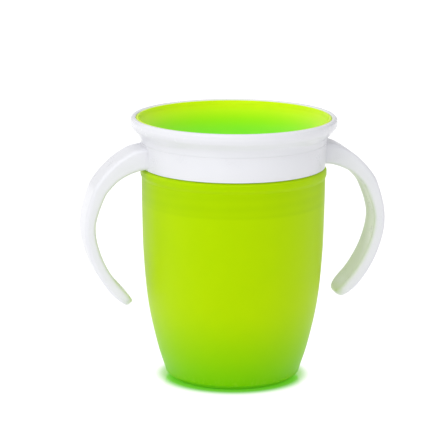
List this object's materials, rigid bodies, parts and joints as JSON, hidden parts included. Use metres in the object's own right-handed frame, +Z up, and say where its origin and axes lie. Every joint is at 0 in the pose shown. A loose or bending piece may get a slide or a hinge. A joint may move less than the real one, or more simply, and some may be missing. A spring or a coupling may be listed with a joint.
{
  "type": "sippy cup",
  "caption": "Toddler's rim-drinking cup: green cup, white screw-in lid with a dished silicone valve, and a ring with two open strap handles.",
  "frame": {"origin": "middle of the base, on the surface that the cup stands on", "axes": "+Z up along the cup's axis; the two handles lie along X"},
  "size_m": [0.1218, 0.0822, 0.1055],
  "materials": {
    "green_polypropylene": "translucent lime-green, satin",
    "white_polypropylene": "opaque white, glossy",
    "clear_silicone": "milky, satin",
    "white_handle_polypropylene": "opaque white, satin gloss",
    "green_silicone": "lime green, glossy"
  },
  "bodies": {
    "cup": {"cup": "green_polypropylene"},
    "handle_ring": {"handle_ring": "white_handle_polypropylene"},
    "lid_seal": {"lid_seal": "clear_silicone"},
    "lid": {"lid": "white_polypropylene"},
    "drinking_valve": {"drinking_valve": "green_silicone"}
  },
  "joints": [
    {"name": "lid_lift", "type": "slide", "parent": "cup", "child": "lid_seal", "axis": [0, 0, 1], "range_m": [0, 0.0126]},
    {"name": "lid_turn", "type": "hinge", "parent": "lid_seal", "child": "lid", "pos_m": [0, 0, 0.09], "axis": [0, 0, 1], "range_deg": [0, 1080]},
    {"name": "valve_pull", "type": "slide", "parent": "lid", "child": "drinking_valve", "axis": [0, 0, 1], "range_m": [0, 0.025]},
    {"name": "handle_turn", "type": "hinge", "parent": "cup", "child": "handle_ring", "pos_m": [0, 0, 0.09], "axis": [0, 0, 1], "continuous": true}
  ],
  "couplings": [
    {"joint": "lid_lift", "follows": "lid_turn", "m_per_rad": 0.00066845}
  ]
}
